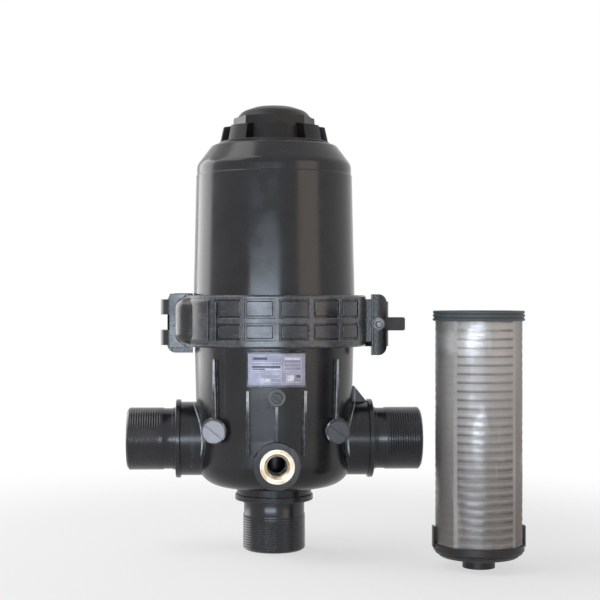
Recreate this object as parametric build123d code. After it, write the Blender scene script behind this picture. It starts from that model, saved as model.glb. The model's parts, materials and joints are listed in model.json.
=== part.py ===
from build123d import *
import os
from math import cos, degrees, radians

# Screen filter: a three-port lower body, a cover held by a two-half clamp, and a mesh element.
# Millimetres. Z is up, the filter axis is Z, the side ports point along -X and +X, the front is -Y.
# The origin is the centre of the bottom port's end face.

# Ports
port_thread_radius = 29.8
port_bore_radius = 24.5
port_chamfer = 2.5
port_collar_radius = 37.3
port_stub_radius = 30.4
side_reach = 140.0
side_height = 106.0
side_tube_length = 46.4
side_collar_thickness = 4.6
side_stub_length = 15.0
bottom_tube_length = 48.0
bottom_collar_thickness = 5.5
bottom_stub_length = 10.0
glue_clearance = 0.05

# Lower body
joint_height = 220.0
body_wall = 4.3
body_low_radius = 74.0
body_draft = 2.2
bowl_bottom = 62.0
bowl_floor_thickness = 5.0
bowl_corner = 24.0
sleeve_radius = 35.0
neck_radius = 35.7
neck_rib_half = 2.0
fin_thickness = 2.6
fin_stand = 2.8
inner_fin_angle = 19.8
outer_fin_angle = 47.0
inner_fin_foot = 97.0
inner_fin_drop = 64.0
outer_fin_foot = 124.0
outer_fin_drop = 36.0
gusset_rise = 15.0
gusset_lip = 5.0
gusset_thickness = 4.0

# Flanges and their seal
flange_stand = 7.8
flange_rim = 10.0
flange_slope_rise = 6.5
flange_root_gap = 0.3
seal_inset = 5.7
seal_section = 1.8
groove_side_clearance = 0.25

# Divider tube and element seat
divider_wall = 4.0
divider_flare_rise = 24.0
seat_height = 140.0
seat_bore_radius = 35.5
seat_throat = 6.0
seat_floor = 5.0
seat_cup_depth = 6.0
seat_cup_wall = 3.2
seat_clearance = 0.2

# Drain port with its brass insert
drain_height = 89.3
drain_stand = 18.0
drain_boss_radius = 21.1
insert_radius = 16.0
insert_length = 22.0
drain_thread_radius = 10.5
drain_minor_radius = 9.3
drain_passage_radius = 8.0
drain_chamfer = 1.2

# Test plugs
side_plug_offset = 57.0
side_plug_height = 118.0
side_plug_setback = 14.0
side_plug_boss_radius = 11.5
side_plug_head_radius = 10.2
side_plug_thread_radius = 6.5
centre_plug_drop = 9.5
centre_plug_stand = 5.0
centre_plug_boss_radius = 8.1
centre_plug_head_radius = 5.0
centre_plug_thread_radius = 3.3
plug_head_thickness = 3.0
plug_thread_length = 11.0
plug_slot_width = 1.8
plug_slot_depth = 1.4
plug_slot_turn = -38.0
plug_head_chamfer = 0.6
plug_clearance = 0.05
plug_seal_thickness = 1.2
plug_seal_width = 1.6

# Label plate on its raised pad
pad_gap = 2.8
pad_height = 32.5
pad_stand = 1.4
pad_half_angle = 20.4
label_margin = 1.95
label_half_angle = 19.4
label_thickness = 0.5

# Cover
cover_wall = 4.0
cover_step = 1.0
cover_draft = 2.7
cover_seam_drop = 29.0
cover_seam_step = 0.6
cover_shoulder_drop = 19.0
cover_shoulder_rounding = 10.0
cover_slope_inset = 14.9
cover_slope_rounding = 5.0
cover_headroom = 17.0
cover_roof = 5.5
cover_neck_radius = 34.0
cover_neck_bore = 26.0
cover_neck_height = 18.0
roof_windows = 4
roof_window_radius = 3.5
roof_window_circle = 22.0
socket_wall = 3.0
socket_depth = 8.0

# Screw cap on the cover's neck
cap_clearance = 0.1
cap_flange_radius = 53.5
cap_flange_thickness = 2.6
cap_lift_gap = 0.3
cap_sides = 8
cap_hub_radius = 41.0
cap_hub_top_radius = 38.6
cap_hub_rise = 26.5
cap_lug_rise = 17.0
cap_lug_root = 2.0
cap_lug_foot_radius = 52.5
cap_lug_head_radius = 48.8
cap_lug_angle = 25.0
cap_dome_points = ((30.5, 6.1), (19.0, 10.1), (0.0, 10.9))
cap_dome_rounding = 12.0
cap_seal_section = 1.5
cap_seal_inset = 3.1

# Clamp band
clamp_drop = 25.2
clamp_rise = 23.0
clamp_wall = 4.0
clamp_edge = 1.6
clamp_inner_clearance = 0.9
clamp_fit = 0.15
clamp_split = 1.0
panel_pitch = 21.0
panel_depth = 2.0
panel_rib = 3.8
panel_rows = ((-18.3, -2.5), (1.9, 19.5))
front_panels = (-2, -1, 0, 1, 2)
rear_panels = (-3, -2, -1, 0, 1, 2)

# Clamp hinge, on the left
hinge_stand = 9.0
hinge_drop = 2.6
clamp_root_inset = 10.0
hinge_pin_radius = 3.2
hinge_knuckle_radius = 11.5
hinge_knuckle_height = 14.5
hinge_gap_height = 14.6
hinge_hook_radius = 7.0
hinge_hook_reach = 3.4
hinge_clearance = 0.15
pin_head_stand = 1.3
pin_head_height = 2.0
hinge_plate_margin = (6.8, 2.0)
hinge_plate_reach = 5.5
hinge_plate_depth = (3.0, 10.0)
hinge_flange_depth = 5.0
hinge_flange_half = 2.4
hinge_flange_margin = 1.5
bulge_inset = 19.0
bulge_front = 24.0
bulge_radius = 25.0
bulge_rounding = 11.0
shoulder_stand = 2.6
shoulder_root = 10.0
shoulder_rounding = 6.0
shoulder_angles = (-89.0, -43.5)
upright_rib_angle = -39.5
upright_rib_half_angle = 1.75
upright_rib_stand = 2.0
upright_rib_margin = 4.5

# Clamp latch, on the right
latch_stand = 10.5
latch_y = 9.0
latch_drop = 4.5
latch_pin_radius = 3.0
latch_knuckle_radius = 12.5
latch_knuckle_height = 15.0
latch_hub_radius = 9.0
latch_hub_half_height = 6.4
latch_side_clearance = 0.15
running_clearance = 0.05
latch_tab_reach = 28.0
latch_tab_thickness = 5.0
latch_tab_offset = 6.0
latch_tab_corner = 2.0
bolt_radius = 3.0
bolt_chamfer = 0.6
bolt_root_depth = 6.0
bolt_tail = 4.0
nut_seat_distance = 23.0
nut_seat_gap = 0.3
nut_across_flats = 10.0
nut_thickness = 5.2
nut_corner_radius = 5.9
nut_corner_bevel = 0.6
washer_radius = 6.2
washer_thickness = 1.6
lug_margin = (8.8, 1.0)
lug_inner_reach = 5.9
lug_outer_reach = 8.5
lug_back = 4.5
lug_slot_clearance = 0.5
lug_corner = 8.0
lug_groove_reach = (4.1, 1.5)
lug_groove_depth = 3.0
ear_margin = 3.6
ear_inset = 6.0

# Screen element, measured from the flat end of its end cap's boss
element_length = 229.0
element_seal_radius = 41.0
element_seal_bore = 35.0
element_seal_height = 9.1
element_seal_groove = 1.0
element_seal_bevel = 1.0
mesh_radius = 38.6
mesh_thickness = 0.6
mesh_seam_width = 6.0
mesh_seam_thickness = 0.4
mesh_seam_angle = 41.0
cage_clearance = 0.1
cage_depth = 2.9
cage_rings = 12
cage_ring_height = 2.2
cage_ribs = 8
cage_rib_width = 3.0
cage_rib_inset = 0.2
end_cap_boss_radius = 14.5
end_cap_boss_height = 10.0
end_cap_base = 3.5
end_cap_rim_height = 11.5
end_cap_foot_radius = 34.5
end_cap_foot_rise = 6.0
end_cap_foot_rounding = 2.5
end_cap_wall = 1.7
prong_width = 9.0
prong_rise = 15.5
prong_root = 3.0
prong_thickness = 1.2
spare_place = (180.0, -95.0)

# How far a cutting tool runs past the face it opens
overrun = 1.0

# Radii and places that follow from the body's radius
body_top_radius = body_low_radius + body_draft
flange_radius = body_top_radius + flange_stand
seal_radius = flange_radius - seal_inset
drain_face = body_low_radius + drain_stand
side_plug_face = body_low_radius - side_plug_setback
centre_plug_face = body_low_radius + centre_plug_stand
cover_low_radius = body_top_radius + cover_step
cover_top_radius = cover_low_radius - cover_draft
cover_slope_radius = cover_top_radius - cover_slope_inset
clamp_radius = flange_radius + clamp_wall
hinge_x = -clamp_radius - hinge_stand
hinge_root_x = -clamp_radius + clamp_root_inset
bulge_centre = (-clamp_radius + bulge_inset, -bulge_front)
latch_x = clamp_radius + latch_stand
latch_root_x = clamp_radius - clamp_root_inset
lug_inner_x = latch_x - lug_inner_reach
lug_outer_x = latch_x + lug_outer_reach
lug_groove_x = (latch_x - lug_groove_reach[0], latch_x - lug_groove_reach[1])

# Heights that follow from the joint, the seat and the element
clamp_low = joint_height - clamp_drop
clamp_high = joint_height + clamp_rise
hinge_middle = joint_height - hinge_drop
latch_height = joint_height - latch_drop
pad_top = clamp_low - pad_gap
pad_span = (pad_top - pad_height, pad_top)
inner_fin_span = (inner_fin_foot, joint_height - inner_fin_drop)
outer_fin_span = (outer_fin_foot, joint_height - outer_fin_drop)
centre_plug_height = pad_span[0] - centre_plug_drop
centre_fin_span = (drain_height, centre_plug_height)
cover_top = seat_height + element_length + cover_headroom
cover_seam_height = cover_top - cover_seam_drop
cover_shoulder_height = cover_top - cover_shoulder_drop
neck_top = cover_top + cover_neck_height
past_clamp = (clamp_low - clamp_drop, clamp_high + clamp_rise)
cap_seal_radius = cover_neck_radius - cap_seal_inset

BASE = (Align.CENTER, Align.CENTER, Align.MIN)
FRONT = Rot(90, 0, 0)
LEFT = Rot(0, -90, 0)
RIGHT = Rot(0, 90, 0)


def rod(radius, low, high, x=0.0, y=0.0):
    """An upright cylinder between two heights."""
    return Pos(x, y, low) * Cylinder(radius, high - low, align=BASE)


def tube(radius, bore, low, high, x=0.0, y=0.0):
    """An upright cylinder with a through bore."""
    return rod(radius, low, high, x, y) - rod(bore, low, high, x, y)


def block(x_span, y_span, z_span):
    """A box between two corners."""
    size = (x_span[1] - x_span[0], y_span[1] - y_span[0], z_span[1] - z_span[0])
    corner = (Align.MIN, Align.MIN, Align.MIN)
    return Pos(x_span[0], y_span[0], z_span[0]) * Box(*size, align=corner)


def turned(points, soft=(), arc=360.0):
    """A solid turned about Z from (radius, height) points; soft lists (corner, radius)."""
    face = make_face(Polyline(*points, close=True))
    for corner, radius in soft:
        nearest = face.vertices().sort_by_distance((corner[0], corner[1], 0))[0]
        face = fillet(nearest, radius)
    return revolve(Plane.XZ * face, Axis.Z, revolution_arc=arc)


def sector(inner, outer, low, high, middle_angle, half_angle):
    """A curved block; angles are measured from the front (-Y) towards +X."""
    ring = turned([(inner, low), (outer, low), (outer, high), (inner, high)], arc=2 * half_angle)
    return Rot(0, 0, middle_angle - half_angle - 90) * ring


def at_front_angle(solid, angle):
    """Turns a solid built at the front (-Y) round the filter axis."""
    return Rot(0, 0, angle) * solid


def body_radius(height):
    """Outer radius of the lower body's straight wall at a height."""
    foot = bowl_bottom + 2 * bowl_corner
    head = joint_height - flange_rim - flange_slope_rise
    rise = max(0, height - foot) / (head - foot)
    return body_low_radius + rise * (body_top_radius - body_low_radius)


def angle_across(width, radius):
    """The angle in degrees that a width takes up on a circle."""
    return degrees(width / radius)


def spigot(tube_length, collar_thickness, stub_length, lead_in):
    """A spigot standing on its open end, with the stub that is glued into the body."""
    collar = tube_length + collar_thickness
    end = collar + stub_length
    mouth = [(port_thread_radius - lead_in, 0), (port_thread_radius, lead_in)]
    return turned(
        [
            (port_bore_radius, 0),
            *(mouth if lead_in else [(port_thread_radius, 0)]),
            (port_thread_radius, tube_length),
            (port_collar_radius, tube_length),
            (port_collar_radius, collar),
            (port_stub_radius, collar),
            (port_stub_radius, end),
            (port_bore_radius, end),
        ]
    )


def side_spigot(side):
    """The left (-1) or right (+1) port spigot in its place."""
    inward = RIGHT if side < 0 else LEFT
    solid = spigot(side_tube_length, side_collar_thickness, side_stub_length, port_chamfer)
    return Pos(side * side_reach, 0, side_height) * inward * solid


def fin(angle, span):
    """An upright stiffening fin on the outside of the lower body."""
    reach = body_radius(span[1]) + fin_stand
    root = body_low_radius - body_wall / 2
    plate = block((-fin_thickness / 2, fin_thickness / 2), (-reach, -root), span)
    return at_front_angle(plate, angle)


def gusset():
    """The triangular web between the body wall and the right sleeve."""
    wall = body_low_radius - body_wall / 2
    sleeve_end = side_reach - side_tube_length - side_collar_thickness
    foot = side_height + sleeve_radius
    points = [
        (wall, foot - overrun),
        (sleeve_end, foot - overrun),
        (sleeve_end, foot),
        (wall + gusset_lip, foot + gusset_rise),
        (wall, foot + gusset_rise),
    ]
    profile = Plane.XZ * make_face(Polyline(*points, close=True))
    return extrude(profile, gusset_thickness / 2, both=True)


def make_lower_body():
    flange_low = joint_height - flange_rim
    outer = turned(
        [
            (0, bowl_bottom),
            (body_low_radius, bowl_bottom),
            (body_low_radius, bowl_bottom + 2 * bowl_corner),
            (body_top_radius, flange_low - flange_slope_rise),
            (flange_radius, flange_low),
            (flange_radius, joint_height),
            (0, joint_height),
        ],
        soft=[((body_low_radius, bowl_bottom), bowl_corner)],
    )
    floor = bowl_bottom + bowl_floor_thickness
    cavity = turned(
        [
            (0, floor),
            (body_low_radius - body_wall, floor),
            (body_low_radius - body_wall, floor + 2 * bowl_corner),
            (body_top_radius - body_wall, joint_height),
            (0, joint_height),
        ],
        soft=[((body_low_radius - body_wall, floor), bowl_corner - body_wall)],
    )
    sleeve_end = side_reach - side_tube_length - side_collar_thickness
    stub_end = sleeve_end - side_stub_length
    neck_end = bottom_tube_length + bottom_collar_thickness
    shell = outer + rod(neck_radius, neck_end, bowl_bottom + overrun)
    for turn in (LEFT, RIGHT):
        shell += Pos(0, 0, side_height) * turn * rod(sleeve_radius, 0, sleeve_end)
    shell += Pos(0, 0, drain_height) * FRONT * rod(drain_boss_radius, 0, drain_face)
    shell += Pos(0, 0, centre_plug_height) * FRONT * rod(centre_plug_boss_radius, 0, centre_plug_face)
    for side in (-1, 1):
        boss = FRONT * rod(side_plug_boss_radius, 0, side_plug_face)
        shell += Pos(side * side_plug_offset, 0, side_plug_height) * boss
    shell += fin(0, centre_fin_span)
    for half in (0, 180):
        for side in (-1, 1):
            shell += fin(half + side * inner_fin_angle, inner_fin_span)
            shell += fin(half + side * outer_fin_angle, outer_fin_span)
    pad_outer = body_radius(pad_span[1]) + pad_stand
    shell += sector(body_low_radius - body_wall / 2, pad_outer, *pad_span, 0, pad_half_angle)
    shell += gusset()
    rib_y = (-neck_radius - neck_rib_half, -neck_radius + neck_rib_half)
    shell += block((-neck_rib_half, neck_rib_half), rib_y, (neck_end, bowl_bottom + bowl_floor_thickness))
    shell -= cavity
    shell += make_divider(floor)

    # Bores of the three ports, with the sockets that take the spigots' stubs
    socket = port_stub_radius + glue_clearance
    bore_start = body_low_radius - 2 * body_wall
    for turn in (LEFT, RIGHT):
        port_axis = Pos(0, 0, side_height) * turn
        shell -= port_axis * rod(port_bore_radius, bore_start, sleeve_end)
        shell -= port_axis * rod(socket, stub_end, sleeve_end)
    shell -= rod(port_bore_radius, neck_end, floor + overrun)
    shell -= rod(socket, neck_end, neck_end + bottom_stub_length)

    # Drain, test plugs and the seal groove
    drain = rod(drain_passage_radius, bore_start, drain_face)
    drain += rod(insert_radius + glue_clearance, drain_face - insert_length, drain_face)
    shell -= Pos(0, 0, drain_height) * FRONT * drain
    for side in (-1, 1):
        hole = FRONT * rod(side_plug_thread_radius + plug_clearance, side_plug_face / 2, side_plug_face)
        shell -= Pos(side * side_plug_offset, 0, side_plug_height) * hole
    hole = FRONT * rod(centre_plug_thread_radius + plug_clearance, bore_start, centre_plug_face)
    shell -= Pos(0, 0, centre_plug_height) * hole
    groove_half = seal_section + groove_side_clearance
    return shell - tube(
        seal_radius + groove_half, seal_radius - groove_half, joint_height - 2 * seal_section, joint_height
    )


def make_divider(floor):
    """The standing tube that leads from the bottom port up to the element's seat."""
    tube_outer = port_bore_radius + divider_wall
    cup_bore = element_seal_radius + seat_clearance
    cup_outer = cup_bore + seat_cup_wall
    flare_foot = seat_height - divider_flare_rise
    return turned(
        [
            (port_bore_radius, floor - overrun),
            (port_bore_radius, flare_foot),
            (seat_bore_radius, seat_height - seat_throat),
            (seat_bore_radius, seat_height),
            (cup_bore, seat_height),
            (cup_bore, seat_height + seat_cup_depth),
            (cup_outer, seat_height + seat_cup_depth),
            (cup_outer, seat_height - seat_floor),
            (tube_outer, flare_foot - divider_wall),
            (tube_outer, floor - overrun),
        ]
    )


def make_drain_insert():
    profile = turned(
        [
            (drain_minor_radius, 0),
            (insert_radius, 0),
            (insert_radius, insert_length),
            (drain_thread_radius + drain_chamfer, insert_length),
            (drain_minor_radius, insert_length - drain_chamfer * 2),
        ]
    )
    return Pos(0, 0, drain_height) * FRONT * Pos(0, 0, drain_face - insert_length) * profile


def test_plug(head_radius, thread_radius, face):
    """A slotted screw plug on its seal, along the front direction from the filter axis."""
    head_low = face + plug_seal_thickness
    head = rod(head_radius, head_low, head_low + plug_head_thickness)
    head = chamfer(head.faces().sort_by(Axis.Z)[-1].edges(), plug_head_chamfer)
    slot_half = plug_slot_width / 2
    top = head_low + plug_head_thickness
    slot = block((-head_radius, head_radius), (-slot_half, slot_half), (top - plug_slot_depth, top))
    solid = head + rod(thread_radius, face - plug_thread_length, head_low)
    return solid - Rot(0, 0, plug_slot_turn) * slot


def plug_seal(head_radius, thread_radius, face):
    """The flat washer seal under a test plug's head."""
    seal_outer = min(head_radius - plug_head_chamfer, thread_radius + plug_clearance + plug_seal_width)
    return tube(seal_outer, thread_radius + plug_clearance, face, face + plug_seal_thickness)


def plug_places():
    """Name, x, height, head radius, thread radius and face distance of each test plug."""
    side = (side_plug_head_radius, side_plug_thread_radius, side_plug_face)
    centre = (centre_plug_head_radius, centre_plug_thread_radius, centre_plug_face)
    return [
        ("left", -side_plug_offset, side_plug_height, *side),
        ("right", side_plug_offset, side_plug_height, *side),
        ("centre", 0.0, centre_plug_height, *centre),
    ]


def make_label_plate():
    low = pad_span[0] + label_margin
    high = pad_span[1] - label_margin
    inner = body_radius(pad_span[1]) + pad_stand + glue_clearance
    return sector(inner, inner + label_thickness, low, high, 0, label_half_angle)


def make_body_seal():
    return Pos(0, 0, joint_height - seal_section) * Torus(seal_radius, seal_section)


def make_cover():
    flange_high = joint_height + flange_rim
    slope = cover_low_radius + flange_root_gap
    seam = cover_seam_height
    shoulder = cover_top_radius - cover_seam_step
    outer = turned(
        [
            (0, joint_height),
            (flange_radius, joint_height),
            (flange_radius, flange_high),
            (slope, flange_high + flange_slope_rise),
            (cover_low_radius, flange_high + flange_slope_rise),
            (cover_top_radius, seam),
            (shoulder, seam + cover_seam_step),
            (shoulder, cover_shoulder_height),
            (cover_slope_radius, cover_top),
            (0, cover_top),
        ],
        soft=[
            ((shoulder, cover_shoulder_height), cover_shoulder_rounding),
            ((cover_slope_radius, cover_top), cover_slope_rounding),
        ],
    )
    roof = cover_top - cover_roof
    inner_shoulder = shoulder - cover_wall
    cavity = turned(
        [
            (0, joint_height),
            (cover_low_radius - cover_wall, joint_height),
            (inner_shoulder, seam),
            (inner_shoulder, cover_shoulder_height - cover_wall / 2),
            (cover_slope_radius - cover_wall / 2, roof),
            (0, roof),
        ]
    )
    socket_bore = end_cap_boss_radius + seat_clearance
    boss_end = seat_height + element_length
    cover = outer - cavity
    cover += rod(cover_neck_radius, cover_top - overrun, neck_top)
    cover -= rod(cover_neck_bore, cover_top, neck_top)
    cover += tube(socket_bore + socket_wall, socket_bore, boss_end - socket_depth, roof + overrun)
    window_step = 360 / roof_windows
    for index in range(roof_windows):
        window = rod(roof_window_radius, roof - overrun, cover_top + overrun, roof_window_circle)
        cover -= Rot(0, 0, (index + 0.5) * window_step) * window
    groove_half = cap_seal_section + groove_side_clearance
    groove = (cap_seal_radius + groove_half, cap_seal_radius - groove_half)
    return cover - tube(*groove, neck_top - 2 * cap_seal_section, neck_top)


def octagon(radius):
    """The cap's hub outline with a corner at the front."""
    return RegularPolygon(radius, cap_sides, rotation=90)


def make_top_cap():
    low = cover_top + cap_lift_gap
    hub_top = cover_top + cap_hub_rise
    lug_top = cover_top + cap_lug_rise
    hub_foot = Pos(0, 0, low) * octagon(cap_hub_radius)
    hub_head = Pos(0, 0, hub_top) * octagon(cap_hub_top_radius)
    hub = loft([hub_foot, hub_head])
    rim = cap_hub_top_radius * cos(radians(180 / cap_sides))
    crown = [(radius, hub_top + rise) for radius, rise in cap_dome_points]
    dome = turned([(0, hub_top), (rim, hub_top), *crown], soft=[(crown[0], cap_dome_rounding)])
    flange = rod(cap_flange_radius, low, low + cap_flange_thickness)
    flange = chamfer(flange.faces().sort_by(Axis.Z)[-1].edges(), cap_flange_thickness / 3)
    cap = hub + dome + flange
    profile = [
        (cap_hub_top_radius / 2, low),
        (cap_lug_foot_radius, low),
        (cap_lug_head_radius, lug_top),
        (cap_hub_top_radius - cap_lug_root, lug_top + cap_lug_root),
        (cap_hub_top_radius / 2, lug_top + cap_lug_root),
    ]
    lug = Rot(0, 0, -90 - cap_lug_angle / 2) * turned(profile, arc=cap_lug_angle)
    for index in range(cap_sides):
        cap += Rot(0, 0, index * 360 / cap_sides) * lug
    return cap - rod(cover_neck_radius + cap_clearance, low, neck_top + cap_lift_gap)


def make_top_cap_seal():
    return Pos(0, 0, neck_top - cap_seal_section) * Torus(cap_seal_radius, cap_seal_section)


def clamp_ring():
    """The whole clamp band before it is parted, with its groove over both flanges."""
    flange_low = joint_height - flange_rim
    flange_high = joint_height + flange_rim
    rim = flange_radius + clamp_fit
    low_lip = body_top_radius + clamp_inner_clearance
    high_lip = cover_low_radius + clamp_inner_clearance
    slope = flange_slope_rise / (flange_radius - body_top_radius)
    low_root = flange_low - clamp_fit - (rim - low_lip) * slope
    slope_high = flange_slope_rise / (flange_radius - cover_low_radius - flange_root_gap)
    high_root = flange_high + clamp_fit + (rim - high_lip) * slope_high
    return turned(
        [
            (low_lip, clamp_low),
            (clamp_radius - clamp_edge, clamp_low),
            (clamp_radius, clamp_low + clamp_edge),
            (clamp_radius, clamp_high - clamp_edge),
            (clamp_radius - clamp_edge, clamp_high),
            (high_lip, clamp_high),
            (high_lip, high_root),
            (rim, flange_high + clamp_fit),
            (rim, flange_low - clamp_fit),
            (low_lip, low_root),
        ]
    )


def panel_pockets(panels, face_angle):
    """The shallow pockets between the band's ribs."""
    half_angle = (panel_pitch - angle_across(panel_rib, clamp_radius)) / 2
    inner = clamp_radius - panel_depth
    pockets = []
    for index in panels:
        middle = face_angle + (index + 0.5) * panel_pitch
        for low, high in panel_rows:
            low += joint_height
            high += joint_height
            pockets.append(sector(inner, clamp_radius + overrun, low, high, middle, half_angle))
    return pockets


def half_space(front):
    """The side of the split plane that one clamp half lives on."""
    reach = 2 * clamp_radius
    y_span = (-reach, -clamp_split) if front else (clamp_split, reach)
    return block((-reach, reach), y_span, past_clamp)


def bore_of_ring():
    """The space that the housing needs inside the clamp."""
    flange_low = joint_height - flange_rim - flange_slope_rise
    flange_high = joint_height + flange_rim + flange_slope_rise
    core = rod(cover_low_radius + clamp_inner_clearance, *past_clamp)
    return core + rod(flange_radius + clamp_fit, flange_low, flange_high)


def rounded_plate(x_span, y_span, z_span, corner, outward):
    """An upright plate whose outer corners are rounded as seen from the front."""
    plate = block(x_span, y_span, z_span)
    outer_x = x_span[1] if outward > 0 else x_span[0]
    edges = [e for e in plate.edges().filter_by(Axis.Y) if abs(e.center().X - outer_x) < 0.01]
    return fillet(edges, corner)


def hinge_shoulder(low, high):
    """The thick rounded stretch of the front half between its panels and the hinge."""
    outer = clamp_radius + shoulder_stand
    inner = clamp_radius - shoulder_root
    start, end = shoulder_angles
    ring = turned(
        [(inner, low), (outer, low), (outer, high), (inner, high)],
        soft=[((outer, low), shoulder_rounding), ((outer, high), shoulder_rounding)],
        arc=end - start,
    )
    return Rot(0, 0, start - 90) * ring


def make_clamp_front():
    half = clamp_ring() & half_space(True)
    half -= panel_pockets(front_panels, 0)

    # Swollen end at the hinge: a turned shoulder, an upright rib beside it, and the round root
    low = clamp_low + clamp_edge
    high = clamp_high - clamp_edge
    half += hinge_shoulder(low, high) - bore_of_ring()
    half += sector(
        clamp_radius - panel_depth,
        clamp_radius + upright_rib_stand,
        low + upright_rib_margin,
        high - upright_rib_margin,
        upright_rib_angle,
        upright_rib_half_angle,
    )
    bulge = rod(bulge_radius, low, high, *bulge_centre)
    ends = [bulge.faces().sort_by(Axis.Z)[0], bulge.faces().sort_by(Axis.Z)[-1]]
    bulge = fillet(ends[0].edges() + ends[1].edges(), bulge_rounding)
    knuckle_room = hinge_knuckle_radius + 2 * hinge_clearance
    flange_x = (hinge_x - hinge_flange_half, bulge_centre[0] - bulge_radius / 2)
    flange_y = (-knuckle_room - hinge_flange_depth, -knuckle_room)
    flange_z = (clamp_low - hinge_flange_margin, clamp_high + hinge_flange_margin)
    bulge += block(flange_x, flange_y, flange_z)
    half += (bulge & half_space(True)) - bore_of_ring()
    half -= rod(knuckle_room, *past_clamp, hinge_x)

    # Hook that closes round the hinge pin
    hook_half = hinge_gap_height / 2 - hinge_clearance
    hook_span = (hinge_middle - hook_half, hinge_middle + hook_half)
    hook = rod(hinge_hook_radius, *hook_span, hinge_x)
    hook += block((hinge_x, hinge_root_x), (-hinge_hook_radius, -clamp_split), hook_span)
    cut_x = (hinge_x - 2 * hinge_hook_radius, hinge_x - hinge_hook_reach)
    hook -= block(cut_x, (-2 * hinge_hook_radius, 2 * hinge_hook_radius), past_clamp)
    hook -= rod(hinge_pin_radius + running_clearance, *past_clamp, hinge_x)
    half += hook - bore_of_ring()

    # Ear and slotted lug for the latch bolt
    seat = latch_y - nut_seat_distance + nut_seat_gap
    ear_z = (clamp_low + ear_margin, clamp_high - ear_margin)
    ear = block((latch_root_x, lug_inner_x + overrun), (seat + ear_inset, -2 * clamp_split), ear_z)
    ear -= rod(latch_knuckle_radius + lug_slot_clearance, *past_clamp, latch_x, latch_y)
    half += ear - bore_of_ring()
    lug_z = (clamp_low - lug_margin[0], clamp_high + lug_margin[1])
    lug = rounded_plate((lug_inner_x, lug_outer_x), (seat, -lug_back), lug_z, lug_corner, 1)
    nose = rod(nut_seat_distance - nut_seat_gap, *past_clamp, latch_x, latch_y)
    nose += block((latch_root_x, latch_x), (seat, 0), past_clamp)
    lug &= nose
    lug -= block(lug_groove_x, (seat, seat + lug_groove_depth), past_clamp)
    slot_half = bolt_radius + lug_slot_clearance
    slot_y = (seat - overrun, overrun)
    slot_z = (latch_height - slot_half, latch_height + slot_half)
    slot = block((latch_x, lug_outer_x + overrun), slot_y, slot_z)
    slot += Pos(latch_x, 0, latch_height) * FRONT * rod(slot_half, -slot_y[1], -slot_y[0])
    return half + lug - slot


def make_clamp_rear():
    half = clamp_ring() & half_space(False)
    half -= panel_pockets(rear_panels, 180)

    # Hinge plate with an upper and a lower knuckle
    plate_x = (hinge_x - hinge_plate_reach, hinge_root_x)
    plate_z = (clamp_low - hinge_plate_margin[0], clamp_high + hinge_plate_margin[1])
    plate = rounded_plate(plate_x, hinge_plate_depth, plate_z, lug_corner, -1)
    gap_low = hinge_middle - hinge_gap_height / 2
    gap_high = hinge_middle + hinge_gap_height / 2
    plate += rod(hinge_knuckle_radius, gap_low - hinge_knuckle_height, gap_low, hinge_x)
    plate += rod(hinge_knuckle_radius, gap_high, gap_high + hinge_knuckle_height, hinge_x)
    plate -= rod(hinge_hook_radius + 4 * hinge_clearance, gap_low, gap_high, hinge_x)
    plate -= rod(hinge_pin_radius, *past_clamp, hinge_x)
    head_room = hinge_pin_radius + pin_head_stand + hinge_clearance
    plate -= rod(head_room, gap_high + hinge_knuckle_height, past_clamp[1], hinge_x)
    half += plate - bore_of_ring()

    # Latch clevis with an upper and a lower knuckle
    gap_half = latch_hub_half_height + latch_side_clearance
    low = latch_height - gap_half - latch_knuckle_height
    high = latch_height + gap_half + latch_knuckle_height
    web = block((latch_root_x, latch_x), (2 * clamp_split, 2 * latch_y), (low, high))
    web -= bore_of_ring()
    clevis = web + rod(latch_knuckle_radius, low, high, latch_x, latch_y)
    room = latch_knuckle_radius + lug_slot_clearance
    clevis -= rod(room, latch_height - gap_half, latch_height + gap_half, latch_x, latch_y)
    clevis -= rod(latch_pin_radius, *past_clamp, latch_x, latch_y)
    return half + clevis


def make_hinge_pin():
    low = hinge_middle - hinge_gap_height / 2 - hinge_knuckle_height
    high = hinge_middle + hinge_gap_height / 2 + hinge_knuckle_height
    pin = rod(hinge_pin_radius, low, high + pin_head_height, hinge_x)
    return pin + rod(hinge_pin_radius + pin_head_stand, high, high + pin_head_height, hinge_x)


def make_latch_pin():
    reach = latch_hub_half_height + latch_side_clearance + latch_knuckle_height
    top = latch_height + reach
    pin = rod(latch_pin_radius, latch_height - reach, top + pin_head_height, latch_x, latch_y)
    return pin + rod(latch_pin_radius + pin_head_stand, top, top + pin_head_height, latch_x, latch_y)


def make_latch_lever():
    """The moulded hub that carries the swing bolt, with its thumb tab."""
    low = latch_height - latch_hub_half_height
    high = latch_height + latch_hub_half_height
    hub = rod(latch_hub_radius, low, high, latch_x, latch_y)
    tab_y = latch_y - latch_tab_offset
    tab = block((latch_x, latch_x + latch_tab_reach), (tab_y, tab_y + latch_tab_thickness), (low, high))
    edges = [e for e in tab.edges().filter_by(Axis.Y) if e.center().X > latch_x + overrun]
    tab = fillet(edges, latch_tab_corner)
    lever = hub + tab
    lever -= rod(latch_pin_radius + running_clearance, low, high, latch_x, latch_y)
    return lever - bolt_shank()


def bolt_shank():
    """The swing bolt's plain shape, from its root in the hub to its free end."""
    tail = nut_seat_distance + washer_thickness + nut_thickness + bolt_tail
    return Pos(latch_x, latch_y, latch_height) * FRONT * rod(bolt_radius, bolt_root_depth, tail)


def make_latch_bolt():
    edge = bolt_shank().faces().sort_by(Axis.Y)[0].edges()
    return chamfer(edge, bolt_chamfer)


def make_latch_washer():
    ring = tube(washer_radius, bolt_radius + running_clearance, 0, washer_thickness)
    return Pos(latch_x, latch_y - nut_seat_distance, latch_height) * FRONT * ring


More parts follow.
